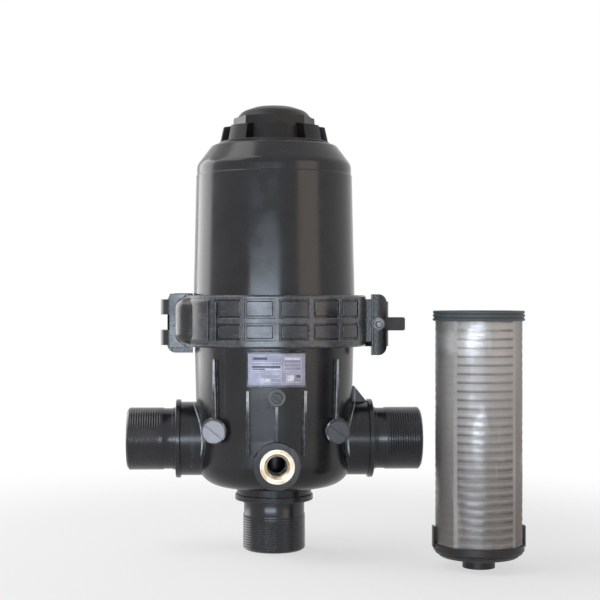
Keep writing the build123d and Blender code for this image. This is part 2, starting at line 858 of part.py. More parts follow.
def make_latch_nut():
    flat_radius = nut_across_flats / 2
    nut = extrude(RegularPolygon(flat_radius, 6, major_radius=False), nut_thickness)
    nut &= turned(
        [
            (0, 0),
            (flat_radius, 0),
            (nut_corner_radius, nut_corner_bevel),
            (nut_corner_radius, nut_thickness - nut_corner_bevel),
            (flat_radius, nut_thickness),
            (0, nut_thickness),
        ]
    )
    nut -= rod(bolt_radius + running_clearance, 0, nut_thickness)
    return Pos(latch_x, latch_y - nut_seat_distance - washer_thickness, latch_height) * FRONT * nut


def element_heights():
    """Heights inside the element: end cap floor, end cap rim, and the seal's lower face."""
    floor = end_cap_boss_height + end_cap_base
    return floor, end_cap_boss_height + end_cap_rim_height, element_length - element_seal_height


def make_element_cap():
    floor, rim, _ = element_heights()
    inner = mesh_radius + cage_clearance
    outer = inner + end_cap_wall
    cap = turned(
        [
            (0, 0),
            (end_cap_boss_radius, 0),
            (end_cap_boss_radius, end_cap_boss_height),
            (end_cap_foot_radius, end_cap_boss_height),
            (outer, end_cap_boss_height + end_cap_foot_rise),
            (outer, rim),
            (inner, rim),
            (inner, floor),
            (0, floor),
        ],
        soft=[((end_cap_foot_radius, end_cap_boss_height), end_cap_foot_rounding)],
    )
    half = angle_across(prong_width, outer) / 2
    prong = (inner + end_cap_wall / 2, outer + prong_thickness, rim - prong_root, rim + prong_rise)
    for angle in (90, 270):
        cap += sector(*prong, angle, half)
    return cap


def make_element_mesh():
    floor, rim, top = element_heights()
    inner = mesh_radius - mesh_thickness
    half = angle_across(mesh_seam_width, mesh_radius) / 2
    outer = mesh_radius + mesh_seam_thickness
    seam = sector(inner, outer, rim + cage_clearance, top, mesh_seam_angle, half)
    return tube(mesh_radius, inner, floor, top) + seam


def make_element_cage():
    floor, _, top = element_heights()
    outer = mesh_radius - mesh_thickness - cage_clearance
    inner = outer - cage_depth
    cage = None
    for index in range(cage_ribs):
        rib_y = (-cage_rib_width / 2, cage_rib_width / 2)
        rib = block((inner, outer - cage_rib_inset), rib_y, (floor, top))
        rib = Rot(0, 0, index * 360 / cage_ribs) * rib
        cage = rib if cage is None else cage + rib
    step = (top - floor - cage_ring_height) / (cage_rings - 1)
    for index in range(cage_rings):
        low = floor + index * step
        cage += tube(outer, inner, low, low + cage_ring_height)
    return cage


def make_element_seal():
    _, _, low = element_heights()
    middle = (low + element_length) / 2
    groove = element_seal_groove
    return turned(
        [
            (element_seal_bore, low),
            (element_seal_radius, low),
            (element_seal_radius, middle - groove),
            (element_seal_radius - groove, middle),
            (element_seal_radius, middle + groove),
            (element_seal_radius, element_length - element_seal_bevel),
            (element_seal_radius - element_seal_bevel, element_length),
            (element_seal_bore, element_length),
        ]
    )


def main():
    nodes = {
        "lower_body": make_lower_body(),
        "left_port": side_spigot(-1),
        "right_port": side_spigot(1),
        "bottom_port": spigot(bottom_tube_length, bottom_collar_thickness, bottom_stub_length, 0),
        "drain_insert": make_drain_insert(),
        "label_plate": make_label_plate(),
        "body_seal": make_body_seal(),
        "cover": make_cover(),
        "top_cap": make_top_cap(),
        "top_cap_seal": make_top_cap_seal(),
        "clamp_front": make_clamp_front(),
        "clamp_rear": make_clamp_rear(),
        "hinge_pin": make_hinge_pin(),
        "latch_pin": make_latch_pin(),
        "latch_lever": make_latch_lever(),
        "latch_bolt": make_latch_bolt(),
        "latch_washer": make_latch_washer(),
        "latch_nut": make_latch_nut(),
    }
    for name, x, height, head, thread, face in plug_places():
        place = Pos(x, 0, height) * FRONT
        nodes[name + "_test_plug"] = place * test_plug(head, thread, face)
        nodes[name + "_plug_seal"] = place * plug_seal(head, thread, face)
    element = {
        "end_cap": make_element_cap(),
        "mesh": make_element_mesh(),
        "cage": make_element_cage(),
        "seal_ring": make_element_seal(),
    }
    working_place = Pos(0, 0, seat_height + element_length) * Rot(180, 0, 0)
    for name, solid in element.items():
        nodes["screen_" + name] = working_place * solid
        nodes["spare_" + name] = Pos(*spare_place, 0) * solid

    os.makedirs("parts", exist_ok=True)
    for name, solid in nodes.items():
        export_step(solid, f"parts/{name}.step")
        print(name, round(solid.volume), solid.is_valid)


main()
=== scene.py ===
import json
from math import atan, cos, pi, radians, sin

import bmesh
import bpy
from mathutils import Matrix, Vector


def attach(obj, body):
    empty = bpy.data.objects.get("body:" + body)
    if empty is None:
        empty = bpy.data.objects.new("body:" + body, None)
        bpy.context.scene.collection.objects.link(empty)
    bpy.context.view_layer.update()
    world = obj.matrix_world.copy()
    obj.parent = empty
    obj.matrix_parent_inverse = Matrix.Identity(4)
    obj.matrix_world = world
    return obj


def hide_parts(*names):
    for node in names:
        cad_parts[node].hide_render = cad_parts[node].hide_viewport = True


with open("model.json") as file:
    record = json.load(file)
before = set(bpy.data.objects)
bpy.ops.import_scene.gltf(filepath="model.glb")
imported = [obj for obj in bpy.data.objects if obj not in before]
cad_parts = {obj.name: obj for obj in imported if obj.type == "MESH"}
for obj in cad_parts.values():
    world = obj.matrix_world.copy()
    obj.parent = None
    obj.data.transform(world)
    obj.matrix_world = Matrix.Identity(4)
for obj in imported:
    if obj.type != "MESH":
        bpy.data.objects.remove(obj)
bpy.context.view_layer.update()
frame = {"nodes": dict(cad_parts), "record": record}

MM = 0.001

# Camera and picture frame for a photograph of 600 by 600 pixels
# Scale, axis, height and turn are read from it, and the distance is a guess
image_size = 600
metres_per_pixel = 0.00096
axis_pixel_x = 274.1
camera_distance = 1.3
camera_height = 0.2385
camera_yaw = radians(1.8)

# Ports, repeated from the part in metres
port_crest = 29.8 * MM
port_bore = 24.5 * MM
port_collar = 37.3 * MM
port_stub = 30.4 * MM
port_height = 106.0 * MM
side_reach = 140.0 * MM
side_tube = 46.4 * MM
side_collar = 4.6 * MM
side_stub = 15.0 * MM
bottom_tube = 48.0 * MM
bottom_collar = 5.5 * MM
bottom_stub = 10.0 * MM

# Threads, shanks and lands of the ports, which the part leaves plain
thread_pitch = 2.309 * MM
thread_depth = 0.5 * MM
thread_length = 33.0 * MM
thread_start = 1.05 * MM
thread_flat = 0.12
steps_per_pitch = 8
port_lip = 3.0 * MM
port_chamfer = 2.4 * MM
runout_pitches = 2.5
runout_depth = 0.25 * MM
shank_depth = 0.9 * MM
shank_start = 1.2 * MM
land_depth = 0.2 * MM
land_length = 3.0 * MM
land_rise = 0.2 * MM
collar_edge = 0.5 * MM

# Drain insert
drain_height = 89.3 * MM
drain_face = 92.0 * MM
insert_radius = 16.0 * MM
insert_length = 22.0 * MM
insert_bore = 9.3 * MM
insert_thread_radius = 10.4 * MM
insert_mouth_radius = 11.7 * MM
insert_mouth_depth = 2.4 * MM
insert_pitch = 1.814 * MM
insert_groove = (13.3 * MM, 14.6 * MM)
insert_groove_depth = 0.5 * MM
insert_bevel = 0.5 * MM

# Raised pads in the clamp's pockets
clamp_joint_height = 220.0 * MM
clamp_radius = 88.0 * MM
pocket_depth = 2.0 * MM
pocket_pitch = radians(21.0)
pocket_rib = 3.8 * MM
pocket_rows = ((-18.3 * MM, -2.5 * MM), (1.9 * MM, 19.5 * MM))
pad_inset = 1.7 * MM
pad_stand = 1.2 * MM
pad_bevel = 0.7 * MM
pad_root = 0.3 * MM
pad_steps = 8
front_columns = (-1, 0, 1, 2)
rear_columns = (-3, -2, -1, 0, 1, 2)
narrow_column = (radians(-36.9), radians(-22.2))

# Label plate's printed face, as shares of its width and height
# Boxes, bars and fields are (left, right, low, high), and rules are (left, right, height)
label_face = 77.9 * MM
label_half_angle = radians(19.4)
label_span = (161.45 * MM, 190.05 * MM)
ink_lift = 0.05 * MM
ink_line = 0.35 * MM
ink_step = radians(1.5)
label_boxes = (
    (0.05, 0.58, 0.46, 0.64),
    (0.62, 0.93, 0.46, 0.90),
    (0.20, 0.58, 0.08, 0.36),
    (0.66, 0.94, 0.08, 0.36),
)
label_rules = (
    (0.05, 0.58, 0.72),
    (0.62, 0.93, 0.68),
    (0.62, 0.93, 0.57),
    (0.20, 0.58, 0.22),
    (0.05, 0.94, 0.41),
)
label_bars = (
    (0.09, 0.34, 0.80, 0.88),
    (0.07, 0.56, 0.55, 0.61),
    (0.09, 0.30, 0.49, 0.52),
    (0.84, 0.91, 0.24, 0.32),
)
label_fields = (
    (0.30, 0.56, 0.49, 0.52),
    (0.22, 0.40, 0.12, 0.20),
    (0.68, 0.80, 0.12, 0.32),
    (0.64, 0.91, 0.80, 0.87),
)

# Screen element beside the filter
spare_place = (180.0 * MM, -95.0 * MM, 0.0)
cloth_radius = 38.6 * MM
cloth_thickness = 0.6 * MM
cloth_span = (13.5 * MM, 219.9 * MM)
cloth_hem_height = 23.4 * MM
cloth_hem_stand = 0.35 * MM
cloth_hem_edge = 1.5 * MM
cloth_waist = 0.3 * MM
cloth_waist_middle = 0.6
cloth_waves = 5
cloth_wave_drift = 0.11
cloth_steps_per_ring = 6
cloth_seam_angle = radians(41.0)
cloth_seam_half_angle = radians(4.4)
cloth_seam_stand = 0.35 * MM
ring_count = 28
ring_height = 1.8 * MM
grid_outer = 37.85 * MM
grid_depth = 2.9 * MM
rib_count = 8
rib_half_width = 1.5 * MM
rib_depth = 0.9 * grid_depth

# Section of the element's rubber ring, as (radius, height) in millimetres
seal_rings = (
    (35.0, 219.9), (40.2, 219.9), (40.9, 220.6), (40.9, 221.9), (39.8, 222.5), (39.8, 223.3), (40.8, 223.9),
    (40.8, 225.4), (39.9, 226.0), (39.9, 226.6), (40.7, 227.2), (40.7, 228.2), (40.0, 229.0), (35.0, 229.0),
)

# Textures, shared by the materials
cloud_low = 0.3
cloud_high = 0.7
noise_roughness = 0.55
grain_distance = 0.2 * MM
bevel_samples = 6
flat_agreement = 0.995
edge_agreement = 0.86
plastic_ior = 1.42
crown_ior = 1.36
scuff_share = 0.16
gloss_spread = 0.09
worn_roughness = 0.3

# Where the painted highlight on the lower body's fins lies: height up the wall, and how far a face stands
# off it
wall_low_radius = 74.0 * MM
wall_taper = 2.2 * MM
wall_span = (110.0 * MM, 203.5 * MM)
fin_stand_rise = (1.8 * MM, 2.6 * MM)
fin_stand_fall = (3.1 * MM, 3.6 * MM)
fin_foot = (90.0 * MM, 100.0 * MM)
fin_head = (182.0 * MM, 186.0 * MM)

# Radii at which the painted shade in the clamp's pockets ends, its ribs lie and its outer fittings begin
pocket_shade = (86.4 * MM, 86.9 * MM)
rib_face_rise = (87.3 * MM, 87.9 * MM)
rib_face_fall = (88.2 * MM, 88.6 * MM)
fittings_rise = (91.5 * MM, 94.0 * MM)

# Marks of the cage on the cloth, with painted ring shadows, painted light between the rings and painted
# shade at the sides: shares of a ring's spacing, and angles from the nearer of front and back
ring_shadow_rise = (0.0, 0.1)
ring_shadow_fall = (0.2, 0.42)
gap_light_rise = (0.4, 0.55)
gap_light_fall = (0.65, 0.85)
panel_edge = (0.66, 0.72)
rib_mark_rise = (0.66, 0.7)
rib_mark_fall = (0.76, 0.8)
flank_shade_rise = (0.78, 1.3)

# Shading, floor and light
sharp_angle = radians(32)
floor_radius = 6.0
floor_segments = 64
floor_white = 0.9
floor_roughness = 0.9
floor_fade = (0.25, 0.7)
floor_flat_near = 0.6
light_target = Vector((0, 0, 0.22))
world_front = 0.06
world_back = 0.4
world_change = (-0.75, 0.5)


# Node helpers for the materials


class Graph:
    """A short way to write one material's node tree."""

    def __init__(self, name):
        self.material = bpy.data.materials.new(name)
        self.material.use_nodes = True
        self.tree = self.material.node_tree
        self.tree.nodes.clear()
        self.output = self.add("ShaderNodeOutputMaterial")
        self.shader = self.add("ShaderNodeBsdfPrincipled")
        self.link(self.shader.outputs[0], self.output.inputs["Surface"])
        self.coords = self.add("ShaderNodeTexCoord").outputs["Object"]

    def add(self, kind, **settings):
        node = self.tree.nodes.new(kind)
        for key, value in settings.items():
            setattr(node, key, value)
        return node

    def link(self, source, target):
        self.tree.links.new(source, target)

    def put(self, target, value):
        """Sets a socket to a number or colour, or links another socket to it."""
        if isinstance(value, bpy.types.NodeSocket):
            self.link(value, target)
        elif target.type == "RGBA" and len(value) == 3:
            target.default_value = (*value, 1)
        else:
            target.default_value = value

    def noise(self, scale, detail, stretch=None, distortion=0.0):
        """A noise field in the piece's own space; stretch scales X, Y and Z."""
        node = self.add("ShaderNodeTexNoise")
        source = self.coords
        if stretch:
            mapping = self.add("ShaderNodeMapping")
            mapping.inputs["Scale"].default_value = stretch
            self.link(source, mapping.inputs["Vector"])
            source = mapping.outputs[0]
        self.link(source, node.inputs["Vector"])
        node.inputs["Scale"].default_value = scale
        node.inputs["Detail"].default_value = detail
        node.inputs["Roughness"].default_value = noise_roughness
        node.inputs["Distortion"].default_value = distortion
        return node.outputs["Fac"]

    def ramp(self, value, low, high, start=0.0, end=1.0):
        """Maps a value from low..high to start..end, clamped."""
        node = self.add("ShaderNodeMapRange", clamp=True, interpolation_type="SMOOTHSTEP")
        self.put(node.inputs["Value"], value)
        node.inputs["From Min"].default_value = low
        node.inputs["From Max"].default_value = high
        node.inputs["To Min"].default_value = start
        node.inputs["To Max"].default_value = end
        return node.outputs[0]

    def cloudy(self, value, start=0.0, end=1.0):
        """Maps a noise field's usual range to start..end."""
        return self.ramp(value, cloud_low, cloud_high, start, end)

    def band(self, value, rise, fall):
        """1 between two smooth steps, up over rise and down over fall."""
        fall_start, fall_end = fall
        return self.math("MULTIPLY", self.ramp(value, *rise), self.ramp(value, fall_end, fall_start))

    def math(self, operation, a, b=0.0):
        node = self.add("ShaderNodeMath", operation=operation)
        self.put(node.inputs[0], a)
        self.put(node.inputs[1], b)
        return node.outputs[0]

    def mix(self, factor, a, b):
        """A colour between a and b."""
        node = self.add("ShaderNodeMix", data_type="RGBA")
        self.put(node.inputs["Factor"], factor)
        self.put(node.inputs[6], a)
        self.put(node.inputs[7], b)
        return node.outputs[2]

    def axis_parts(self):
        """The piece's own X, Y and Z as three values."""
        node = self.add("ShaderNodeSeparateXYZ")
        self.link(self.coords, node.inputs[0])
        return node.outputs

    def radius(self):
        """Distance from the filter's axis in the piece's own space."""
        x, y, _ = self.axis_parts()
        squares = self.math("ADD", self.math("MULTIPLY", x, x), self.math("MULTIPLY", y, y))
        return self.math("SQRT", squares)

    def edges(self, radius):
        """1 on sharp edges, 0 on flat stretches, and the rounded normal."""
        bevel = self.add("ShaderNodeBevel", samples=bevel_samples)
        bevel.inputs["Radius"].default_value = radius
        geometry = self.add("ShaderNodeNewGeometry")
        dot = self.add("ShaderNodeVectorMath", operation="DOT_PRODUCT")
        self.link(bevel.outputs[0], dot.inputs[0])
        self.link(geometry.outputs["Normal"], dot.inputs[1])
        return self.ramp(dot.outputs["Value"], flat_agreement, edge_agreement), bevel.outputs[0]

    def bump(self, height, strength, distance, normal=None):
        node = self.add("ShaderNodeBump")
        self.link(height, node.inputs["Height"])
        node.inputs["Strength"].default_value = strength
        node.inputs["Distance"].default_value = distance
        if normal is not None:
            self.link(normal, node.inputs["Normal"])
        return node.outputs[0]

    def finish(self, **inputs):
        """Sets the shader's inputs; underscores stand for spaces."""
        for key, value in inputs.items():
            self.put(self.shader.inputs[key.replace("_", " ")], value)
        return self.material


# Materials


def lighter(colour, gain, lift=0.0):
    """The colour times gain plus lift, at most white."""
    return [min(1.0, c * gain + lift) for c in colour]


def plastic(name, colour, wear_and_highlight_colour, gloss, edge_radius, rub, grain=0.03, fin_highlight=None, ior=plastic_ior):
    """Moulded plastic: fine grain, cloudy gloss, edge wear and scuffs.

    The optional mask function adds a painted highlight, in the edge-wear colour, where it is 1.
    """
    g = Graph(name)
    edge, rounded = g.edges(edge_radius)
    cloud = g.noise(scale=26, detail=4)
    fine = g.noise(scale=900, detail=2)
    scratches = g.noise(scale=60, detail=5, stretch=(1, 1, 0.12), distortion=0.4)
    scuff = g.ramp(scratches, low=0.6, high=0.74)
    patchy = g.ramp(g.noise(scale=150, detail=4), low=0.38, high=0.62)
    wear_and_highlight = g.math("MULTIPLY", g.math("MULTIPLY", edge, patchy), rub)
    wear_and_highlight = g.math("ADD", wear_and_highlight, g.math("MULTIPLY", scuff, rub * scuff_share))
    # Painted highlight on the body's fin faces, joined to the edge wear
    if fin_highlight:
        patch_share = g.ramp(patchy, low=0.0, high=1.0, start=0.6, end=0.95)
        wear_and_highlight = g.math("MAXIMUM", wear_and_highlight, g.math("MULTIPLY", fin_highlight(g), patch_share))
    tone = g.mix(g.cloudy(cloud), colour, lighter(colour, gain=1.45, lift=0.002))
    cloudy_gloss = g.cloudy(cloud, gloss, gloss + gloss_spread)
    rough = g.math("ADD", cloudy_gloss, g.math("MULTIPLY", wear_and_highlight, worn_roughness))
    normal = g.bump(fine, grain, grain_distance, rounded)
    return g.finish(Base_Color=g.mix(wear_and_highlight, tone, wear_and_highlight_colour), Roughness=rough, Normal=normal, IOR=ior)


def fin_highlight_mask(g):
    """1 on the outer faces of the body's fins, which stand off its tapered wall; a painted highlight goes
    there.
    """
    _, _, height = g.axis_parts()
    taper = g.ramp(height, *wall_span, start=0.0, end=wall_taper)
    stand = g.math("SUBTRACT", g.math("SUBTRACT", g.radius(), wall_low_radius), taper)
    fin_highlight = g.band(stand, fin_stand_rise, fin_stand_fall)
    return g.math("MULTIPLY", fin_highlight, g.band(height, fin_foot, fin_head))


def clamp_plastic():
    """The clamp's dark grey moulding: dull, paler in patches on its ribs, with painted shade in its
    pockets.
    """
    g = Graph("clamp_plastic_finish")
    edge, rounded = g.edges(0.9 * MM)
    cloud = g.noise(scale=38, detail=5)
    streak = g.noise(scale=160, detail=4, stretch=(0.25, 0.25, 1.6))
    fine = g.noise(scale=1100, detail=2)
    patchy = g.ramp(g.noise(scale=210, detail=4), low=0.32, high=0.6)
    wear_and_highlight = g.math("MULTIPLY", edge, patchy)
    scrape = g.math("MULTIPLY", g.ramp(streak, low=0.52, high=0.72), 0.4)
    tone = g.mix(g.ramp(cloud, low=0.3, high=0.72), (0.014, 0.015, 0.017), (0.04, 0.041, 0.046))
    tone = g.mix(scrape, tone, (0.1, 0.102, 0.11))
    radius = g.radius()
    patch_share = g.ramp(patchy, low=0.0, high=1.0, start=0.2, end=0.55)
    ribs = g.math("MULTIPLY", g.band(radius, rib_face_rise, rib_face_fall), patch_share)
    tone = g.mix(ribs, tone, (0.1, 0.102, 0.108))
    # Painted shade on the pocket floors, and darker outer fittings
    outer_fittings = g.ramp(radius, *fittings_rise, start=0.0, end=0.75)
    shade = g.math("MAXIMUM", g.ramp(radius, *reversed(pocket_shade)), outer_fittings)
    tone = g.mix(shade, tone, (0.006, 0.006, 0.007))
    colour = g.mix(g.math("MULTIPLY", wear_and_highlight, 0.8), tone, (0.27, 0.275, 0.29))
    rough = g.math("ADD", g.cloudy(cloud, start=0.19, end=0.31), g.math("MULTIPLY", scrape, 0.25))
    relief = g.math("ADD", fine, g.math("MULTIPLY", streak, 0.8))
    normal = g.bump(relief, strength=0.12, distance=0.3 * MM, normal=rounded)
    return g.finish(Base_Color=colour, Roughness=rough, Normal=normal)


def rubber(name, colour):
    """Matt moulded rubber, a little paler on its edges."""
    g = Graph(name)
    edge, rounded = g.edges(0.4 * MM)
    cloud = g.noise(scale=70, detail=4)
    fine = g.noise(scale=1500, detail=3)
    tone = g.mix(g.cloudy(cloud), colour, lighter(colour, gain=1.35))
    tone = g.mix(g.math("MULTIPLY", edge, 0.5), tone, lighter(colour, gain=2.0, lift=0.06))
    normal = g.bump(fine, strength=0.1, distance=grain_distance, normal=rounded)
    return g.finish(Base_Color=tone, Roughness=g.cloudy(cloud, start=0.45, end=0.6), Normal=normal)


def metal(name, colour, dark, rough, brush=(1, 1, 1)):
    """Bare metal: drawn streaks, dull patches and brighter edges."""
    g = Graph(name)
    edge, rounded = g.edges(0.4 * MM)
    streak = g.noise(scale=700, detail=3, stretch=brush)
    cloud = g.noise(scale=90, detail=4)
    tone = g.mix(g.ramp(cloud, low=0.35, high=0.75), colour, dark)
    tone = g.mix(g.math("MULTIPLY", edge, 0.5), tone, lighter(colour, gain=1.2, lift=0.05))
    roughness = g.math("ADD", g.cloudy(cloud, rough, rough + 0.14), g.math("MULTIPLY", streak, 0.08))
    normal = g.bump(streak, strength=0.08, distance=grain_distance, normal=rounded)
    return g.finish(Base_Color=tone, Metallic=1.0, Roughness=roughness, Normal=normal)


def label_foil():
    """Matt foil plate with a faint brushed lie and handling marks."""
    g = Graph("label_foil_finish")
    brushed = g.noise(scale=500, detail=3, stretch=(0.1, 0.1, 3))
    cloud = g.noise(scale=120, detail=4)
    tone = g.mix(g.ramp(cloud, low=0.35, high=0.7), (0.31, 0.3, 0.38), (0.23, 0.225, 0.29))
    rough = g.cloudy(cloud, start=0.36, end=0.46)
    normal = g.bump(brushed, strength=0.08, distance=0.1 * MM)
    return g.finish(Base_Color=tone, Metallic=0.2, Roughness=rough, Normal=normal)


def label_print_ink(name, colour, faded):
    """Printed ink, a little faded in patches."""
    g = Graph(name)
    cloud = g.noise(scale=400, detail=3)
    tone = g.mix(g.ramp(cloud, low=0.35, high=0.65), colour, faded)
    return g.finish(Base_Color=tone, Roughness=g.cloudy(cloud, start=0.4, end=0.55))


def cage_shadows_and_marks(g, tone, place, cloud, crease):
    """Adds to the cloth's tone, for the cage behind it, painted shadows of its rings, painted light in the
    gaps between them, lighter upright bands over its ribs and painted shade towards the sides.
    """
    x, y, height = g.axis_parts()
    across = g.math("SUBTRACT", x, place[0])
    towards = g.math("SUBTRACT", place[1], y)
    turn = g.math("ABSOLUTE", g.math("ARCTAN2", across, towards))
    turn = g.math("MINIMUM", turn, g.math("SUBTRACT", pi, turn))
    spacing = (cloth_span[1] - cloth_span[0] - ring_height) / (ring_count - 1)
    share = g.math("FRACT", g.math("DIVIDE", g.math("SUBTRACT", height, cloth_span[0]), spacing))
    panel = g.ramp(turn, *reversed(panel_edge))
    # Painted shadows of the rings, and painted light in the gaps between them
    ring_shadow = g.math("MULTIPLY", g.band(share, ring_shadow_rise, ring_shadow_fall), panel)
    gap_light = g.math("MULTIPLY", g.band(share, gap_light_rise, gap_light_fall), panel)
    uneven = g.ramp(cloud, low=0.3, high=0.65, start=0.62, end=0.16)
    tone = g.mix(g.math("MULTIPLY", ring_shadow, uneven), tone, (0.05, 0.045, 0.042))
    tone = g.mix(g.math("MULTIPLY", gap_light, 0.25), tone, (0.5, 0.48, 0.46))
    creased = g.ramp(crease, low=0.3, high=0.6, start=0.25, end=0.7)
    rib = g.math("MULTIPLY", g.band(turn, rib_mark_rise, rib_mark_fall), creased)
    tone = g.mix(rib, tone, (0.52, 0.5, 0.47))
    # Painted shade towards the sides
    flank_shade = g.ramp(turn, *flank_shade_rise)
    return g.mix(g.math("MULTIPLY", flank_shade, 0.4), tone, (0.11, 0.1, 0.09))


def mesh_steel(name, place=None):
    """Steel wire cloth: dull and creased, a little see-through, with painted light towards its top and a
    painted glare up high; place adds the cage's painted shading and marks there.
    """
    g = Graph(name)
    _, _, height = g.axis_parts()
    weave = g.noise(scale=900, detail=2, stretch=(1, 1, 3))
    cloud = g.noise(scale=20, detail=4, stretch=(1, 1, 0.4))
    crease = g.noise(scale=55, detail=5, stretch=(1.2, 1.2, 0.16), distortion=0.3)
    glare_noise = g.noise(scale=13, detail=3, stretch=(1.6, 1.6, 0.7), distortion=0.8)
    # Painted light: lighter towards the top, darker towards the foot
    tone = g.mix(g.ramp(height, low=30 * MM, high=210 * MM), (0.2, 0.182, 0.17), (0.43, 0.405, 0.385))
    tone = g.mix(g.math("MULTIPLY", g.ramp(cloud, low=0.35, high=0.7), 0.35), tone, (0.2, 0.185, 0.17))
    tone = g.mix(g.math("MULTIPLY", g.ramp(crease, low=0.56, high=0.68), 0.45), tone, (0.55, 0.53, 0.51))
    # Painted glare in patches on the upper cloth
    upper = g.ramp(height, low=100 * MM, high=160 * MM)
    painted_glare = g.math("MULTIPLY", g.ramp(glare_noise, low=0.54, high=0.62), upper)
    tone = g.mix(g.math("MULTIPLY", painted_glare, 0.6), tone, (0.7, 0.69, 0.67))
    if place:
        tone = cage_shadows_and_marks(g, tone, place, cloud, crease)
    lift = g.math("ADD", g.math("MULTIPLY", weave, 0.5), g.math("MULTIPLY", crease, 1.5))
    return g.finish(
        Base_Color=tone,
        Metallic=0.4,
        Roughness=g.ramp(glare_noise, low=0.45, high=0.62, start=0.5, end=0.3),
        Normal=g.bump(lift, strength=0.25, distance=0.4 * MM),
        Alpha=g.ramp(weave, low=0.3, high=0.7, start=0.68, end=0.86),
    )


finishes = {
    "body_plastic": plastic(
        "body_plastic_finish",
        colour=(0.009, 0.009, 0.01),
        wear_and_highlight_colour=(0.55, 0.55, 0.57),
        gloss=0.2,
        edge_radius=0.8 * MM,
        rub=0.4,
        fin_highlight=fin_highlight_mask,
    ),
    "cover_plastic": plastic(
        "cover_plastic_finish",
        colour=(0.008, 0.008, 0.009),
        wear_and_highlight_colour=(0.14, 0.14, 0.15),
        gloss=0.13,
        edge_radius=0.8 * MM,
        rub=0.3,
        grain=0.02,
    ),
    "port_plastic": plastic(
        "port_plastic_finish",
        colour=(0.014, 0.014, 0.016),
        wear_and_highlight_colour=(0.2, 0.2, 0.21),
        gloss=0.2,
        edge_radius=0.5 * MM,
        rub=0.35,
    ),
    "clamp_plastic": clamp_plastic(),
    "lever_plastic": plastic(
        "lever_plastic_finish",
        colour=(0.022, 0.019, 0.016),
        wear_and_highlight_colour=(0.13, 0.12, 0.11),
        gloss=0.42,
        edge_radius=0.6 * MM,
        rub=0.5,
    ),
    "plug_plastic": plastic(
        "plug_plastic_finish",
        colour=(0.3, 0.295, 0.32),
        wear_and_highlight_colour=(0.7, 0.69, 0.7),
        gloss=0.36,
        edge_radius=0.7 * MM,
        rub=0.9,
    ),
    "dark_plug": plastic(
        "dark_plug_finish",
        colour=(0.035, 0.035, 0.036),
        wear_and_highlight_colour=(0.3, 0.3, 0.3),
        gloss=0.36,
        edge_radius=0.5 * MM,
        rub=0.7,
    ),
    "cap_plastic": plastic(
        "cap_plastic_finish",
        colour=(0.007, 0.006, 0.006),
        wear_and_highlight_colour=(0.1, 0.09, 0.08),
        gloss=0.36,
        edge_radius=0.6 * MM,
        rub=0.5,
    ),
    "cage_plastic": plastic(
        "cage_plastic_finish",
        colour=(0.16, 0.145, 0.135),
        wear_and_highlight_colour=(0.3, 0.29, 0.28),
        gloss=0.45,
        edge_radius=0.4 * MM,
        rub=0.4,
    ),
    "seal_rubber": rubber("seal_rubber_finish", (0.012, 0.012, 0.012)),
    "grey_rubber": rubber("grey_rubber_finish", (0.045, 0.054, 0.055)),
    "brass": metal("brass_finish", (0.7, 0.62, 0.5), (0.5, 0.39, 0.27), rough=0.3),
    "steel": metal("steel_finish", (0.2, 0.2, 0.21), (0.09, 0.09, 0.1), rough=0.42, brush=(1, 1, 4)),
    "mesh_steel": mesh_steel("mesh_steel_finish"),
    "label_foil": label_foil(),
}
crown_finish = plastic(
    "crown_finish",
    colour=(0.005, 0.0045, 0.0045),
    wear_and_highlight_colour=(0.05, 0.045, 0.045),
    gloss=0.34,
    edge_radius=0.6 * MM,
    rub=0.3,
    ior=crown_ior,
)
cloth_finish = mesh_steel("spare_cloth_finish", spare_place)
pale_ink = label_print_ink("label_pale_ink_finish", (0.78, 0.77, 0.82), (0.55, 0.54, 0.6))
dark_ink = label_print_ink("label_dark_ink_finish", (0.03, 0.026, 0.05), (0.07, 0.065, 0.1))

for part in frame["record"]["subparts"]:
    mesh = frame["nodes"][part["node"]].data
    mesh.materials.clear()
    mesh.materials.append(crown_finish if part["node"] == "top_cap" else finishes[part["material_slot"]])


# Pieces


def new_piece(name, bm, slot, body, replaced=(), finish=None):
    """Turns a bmesh into a smooth-shaded piece that rides on a body."""
    bmesh.ops.recalc_face_normals(bm, faces=bm.faces)
    mesh = bpy.data.meshes.new(name)
    bm.to_mesh(mesh)
    bm.free()
    mesh.shade_smooth()
    mesh.set_sharp_from_angle(angle=sharp_angle)
    mesh.materials.append(finish or finishes[slot])
    piece = bpy.data.objects.new(name, mesh)
    bpy.context.scene.collection.objects.link(piece)
    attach(piece, body)
    if replaced:
        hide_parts(*replaced)


def lathe(bm, rings, place, segments, wobble=None):
    """Closed turned surface from (radius, height) rings; wobble(angle, index) may add to a radius."""
    loops = []
    for index, (radius, height) in enumerate(rings):
        loop = []
        for step in range(segments):
            angle = 2 * pi * step / segments
            r = radius + (wobble(angle, index) if wobble else 0.0)
            loop.append(bm.verts.new(place @ Vector((r * cos(angle), r * sin(angle), height))))
        loops.append(loop)
    for index, loop in enumerate(loops):
        following = loops[(index + 1) % len(loops)]
        for step in range(segments):
            after = (step + 1) % segments
            bm.faces.new((loop[step], loop[after], following[after], following[step]))


def thread_drop(phase):
    """Depth below the crest, 0 to 1, across one pitch of a V thread with flat crests and roots."""
    phase = phase % 1.0
    rise = abs(phase - 0.5) * 2
    return min(1.0, max(0.0, (rise - thread_flat) / (1 - 2 * thread_flat)))


